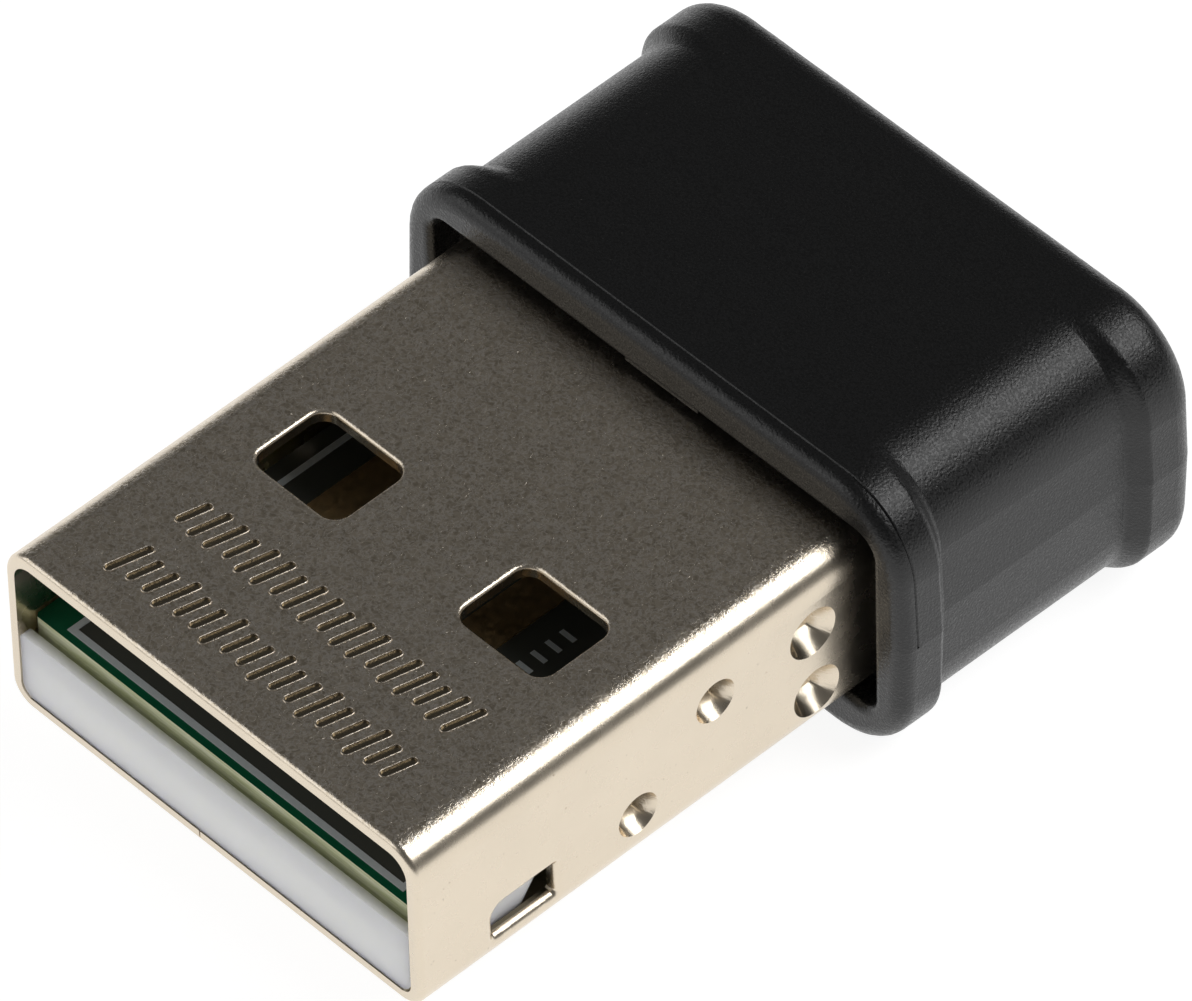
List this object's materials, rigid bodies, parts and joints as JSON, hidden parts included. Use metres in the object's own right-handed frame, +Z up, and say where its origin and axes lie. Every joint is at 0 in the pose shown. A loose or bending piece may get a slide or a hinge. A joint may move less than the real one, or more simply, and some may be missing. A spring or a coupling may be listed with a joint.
{
  "type": "usb wifi adapter",
  "caption": "Very short USB Type-A plug with a black spool-shaped plastic housing close behind it that holds a small radio board.",
  "frame": {"origin": "under the middle of the whole adapter, on the plane that it rests on", "axes": "+Z up through the windowed face of the plug, +Y from the plug's mouth to the rear of the housing, +X across the plug"},
  "size_m": [0.0148, 0.0202, 0.0072],
  "materials": {
    "nickel_shell": "satin, faint orange-peel grain",
    "carrier_plastic": "smooth moulded",
    "green_board": "solder mask over glass epoxy",
    "gold_contact": "gold plated",
    "black_housing": "fine matte moulded texture",
    "chip_black": "moulded epoxy",
    "crystal_can": "plated lid",
    "ferrite": "sintered ferrite",
    "tan_ceramic": "fired ceramic",
    "pale_ceramic": "fired ceramic",
    "resistor_black": "glazed film",
    "printed_copper": "copper under clear mask",
    "solder": "bright solder"
  },
  "bodies": {
    "root": {"plug_shell": "nickel_shell", "plug_carrier": "carrier_plastic", "circuit_board": "green_board", "contact_vbus": "gold_contact", "contact_data_minus": "gold_contact", "contact_data_plus": "gold_contact", "contact_ground": "gold_contact", "housing_top": "black_housing", "housing_bottom": "black_housing", "wifi_chip": "chip_black", "radio_switch": "chip_black", "surge_protector": "chip_black", "voltage_regulator": "chip_black", "memory_chip": "chip_black", "crystal": "crystal_can", "power_inductor": "ferrite", "bulk_capacitors": "tan_ceramic", "decoupling_capacitors": "tan_ceramic", "antenna_matching": "pale_ceramic", "resistors": "resistor_black", "antenna_left": "printed_copper", "antenna_right": "printed_copper", "shell_solder": "solder"}
  },
  "joints": []
}
